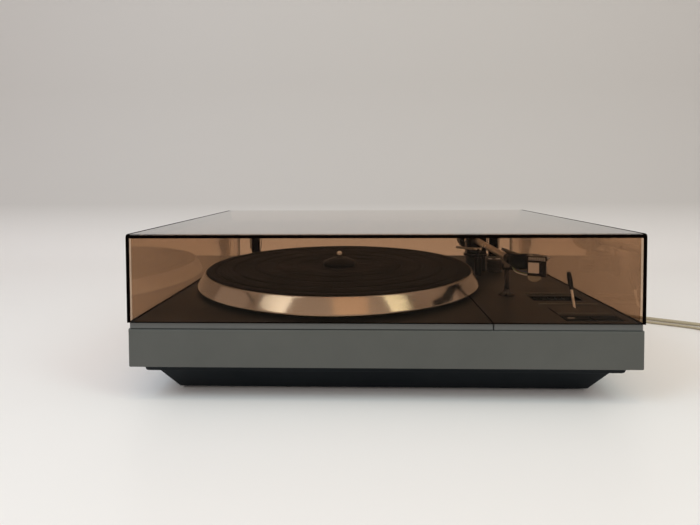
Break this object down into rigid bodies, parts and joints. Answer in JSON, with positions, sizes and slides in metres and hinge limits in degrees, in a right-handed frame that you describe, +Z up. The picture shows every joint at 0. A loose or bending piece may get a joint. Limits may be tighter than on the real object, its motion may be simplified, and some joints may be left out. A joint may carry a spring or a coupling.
{
  "type": "record player",
  "caption": "Belt-drive record player: bevelled cabinet, platter with ribbed rubber mat, straight tonearm on a gimbal, and a hinged smoke-tinted dust cover.",
  "frame": {"origin": "centre of the object's box at the bottom of its feet, without the cords", "axes": "+X to the right along the front, +Y from the front to the hinges at the rear, +Z up"},
  "size_m": [0.7924, 0.43, 0.1431],
  "materials": {
    "base_black": "satin black moulded plastic",
    "plinth_grey": "fine-textured dark grey paint on moulded plastic",
    "deck_black": "dark satin plastic",
    "smoked_cover": "polished clear plastic with a brown smoke tint",
    "polished_steel": "polished",
    "turned_aluminium": "fine turned",
    "dark_aluminium": "black anodised, satin",
    "weight_black": "satin black paint on cast iron",
    "mat_rubber": "matt, concentric ribs",
    "soft_rubber": "matt black",
    "grey_plastic": "satin grey",
    "stamped_iron": "varnished laminations and windings",
    "board_green": "coated circuit board",
    "guard_clear": "milky clear plastic",
    "cord_beige": "smooth flexible vinyl",
    "control_black": "satin black moulded plastic"
  },
  "bodies": {
    "cabinet": {"base_pan": "base_black", "foot_front_left": "soft_rubber", "foot_front_right": "soft_rubber", "foot_rear_left": "soft_rubber", "foot_rear_right": "soft_rubber", "plinth_frame": "plinth_grey", "deck_main": "deck_black", "deck_control": "deck_black", "hinge_base_left": "control_black", "hinge_base_right": "control_black", "hinge_pin_left": "polished_steel", "hinge_pin_right": "polished_steel", "bearing_housing": "turned_aluminium", "drive_belt": "soft_rubber", "motor_bracket": "polished_steel", "motor_can": "polished_steel", "transformer": "stamped_iron", "control_board": "board_green", "arm_base": "dark_aluminium", "arm_rest_post": "polished_steel", "arm_rest_fork": "control_black", "lift_barrel": "control_black", "mains_strain_relief": "soft_rubber", "mains_lead": "cord_beige", "mains_coil": "cord_beige", "mains_tie": "soft_rubber", "mains_plug": "soft_rubber", "signal_strain_relief": "soft_rubber", "signal_lead": "cord_beige", "signal_coil": "cord_beige", "signal_tie": "soft_rubber", "signal_plug": "soft_rubber"},
    "lid": {"dust_cover": "smoked_cover", "hinge_leaf_left": "control_black", "hinge_leaf_right": "control_black"},
    "platter": {"platter": "turned_aluminium", "platter_mat": "mat_rubber", "single_adapter": "control_black", "sub_platter": "grey_plastic", "spindle_shaft": "polished_steel"},
    "motor_rotor": {"motor_pulley": "turned_aluminium"},
    "gimbal": {"gimbal_yoke": "dark_aluminium"},
    "arm": {"pivot_block": "dark_aluminium", "arm_tube": "turned_aluminium", "headshell": "dark_aluminium", "cartridge": "control_black", "stylus": "grey_plastic"},
    "counterweight": {"counterweight": "weight_black"},
    "stylus_guard": {"stylus_guard": "guard_clear"},
    "lift_bar": {"lift_bar": "polished_steel"},
    "cue_lever": {"cue_lever": "polished_steel", "cue_paddle": "control_black"},
    "antiskate_dial": {"antiskate_dial": "control_black"},
    "key_33": {"key_33": "control_black"},
    "key_45": {"key_45": "control_black"},
    "key_slower": {"key_slower": "control_black"},
    "key_faster": {"key_faster": "control_black"},
    "key_cue": {"key_cue": "control_black"},
    "key_start": {"key_start": "control_black"},
    "key_stop": {"key_stop": "control_black"}
  },
  "joints": [
    {"name": "lid_hinge", "type": "hinge", "parent": "cabinet", "child": "lid", "pos_m": [0, 0.174, 0.074], "axis": [-1, 0, 0], "range_deg": [0, 65]},
    {"name": "platter_spin", "type": "hinge", "parent": "cabinet", "child": "platter", "pos_m": [-0.0442, -0.0104, 0.0687], "axis": [0, 0, 1], "continuous": true},
    {"name": "motor_spin", "type": "hinge", "parent": "cabinet", "child": "motor_rotor", "pos_m": [-0.12905, -0.09525, 0.07], "axis": [0, 0, 1], "continuous": true},
    {"name": "arm_swing", "type": "hinge", "parent": "cabinet", "child": "gimbal", "pos_m": [0.131, 0.054, 0.0935], "axis": [0, 0, -1], "range_deg": [0, 55]},
    {"name": "arm_tilt", "type": "hinge", "parent": "gimbal", "child": "arm", "pos_m": [0.131, 0.054, 0.1075], "axis": [1, 0, 0], "range_deg": [0, 2.6]},
    {"name": "counterweight_slide", "type": "slide", "parent": "arm", "child": "counterweight", "axis": [0, 1, 0], "range_m": [-0.005, 0.005]},
    {"name": "stylus_guard_flip", "type": "hinge", "parent": "arm", "child": "stylus_guard", "pos_m": [0.13232, -0.15227, 0.1027], "axis": [-0.9272, 0.3746, 0], "range_deg": [0, 95]},
    {"name": "cue_lever_turn", "type": "hinge", "parent": "cabinet", "child": "cue_lever", "pos_m": [0.181, -0.1246, 0.0617], "axis": [1, 0, 0], "range_deg": [0, 40]},
    {"name": "lift_slide", "type": "slide", "parent": "cabinet", "child": "lift_bar", "axis": [0, 0, -1], "range_m": [0, 0.0022]},
    {"name": "antiskate_turn", "type": "hinge", "parent": "cabinet", "child": "antiskate_dial", "pos_m": [0.152, 0.042, 0.069], "axis": [0, 0, 1], "range_deg": [0, 270]},
    {"name": "key_33_press", "type": "slide", "parent": "cabinet", "child": "key_33", "axis": [0, 0, -1], "range_m": [0, 0.0014], "stiffness_N_per_m": 200, "springref_m": -0.002},
    {"name": "key_45_press", "type": "slide", "parent": "cabinet", "child": "key_45", "axis": [0, 0, -1], "range_m": [0, 0.0014], "stiffness_N_per_m": 200, "springref_m": -0.002},
    {"name": "key_slower_press", "type": "slide", "parent": "cabinet", "child": "key_slower", "axis": [0, 0, -1], "range_m": [0, 0.0014], "stiffness_N_per_m": 200, "springref_m": -0.002},
    {"name": "key_faster_press", "type": "slide", "parent": "cabinet", "child": "key_faster", "axis": [0, 0, -1], "range_m": [0, 0.0014], "stiffness_N_per_m": 200, "springref_m": -0.002},
    {"name": "key_cue_press", "type": "slide", "parent": "cabinet", "child": "key_cue", "axis": [0, 0, -1], "range_m": [0, 0.0014], "stiffness_N_per_m": 200, "springref_m": -0.002},
    {"name": "key_start_press", "type": "slide", "parent": "cabinet", "child": "key_start", "axis": [0, 0, -1], "range_m": [0, 0.0016], "stiffness_N_per_m": 300, "springref_m": -0.002},
    {"name": "key_stop_press", "type": "slide", "parent": "cabinet", "child": "key_stop", "axis": [0, 0, -1], "range_m": [0, 0.0016], "stiffness_N_per_m": 300, "springref_m": -0.002}
  ],
  "couplings": [
    {"joint": "motor_spin", "follows": "platter_spin", "ratio": 15.833},
    {"joint": "arm_tilt", "follows": "lift_slide", "rad_per_m": 20.62},
    {"joint": "cue_lever_turn", "follows": "lift_slide", "rad_per_m": 317.3}
  ]
}
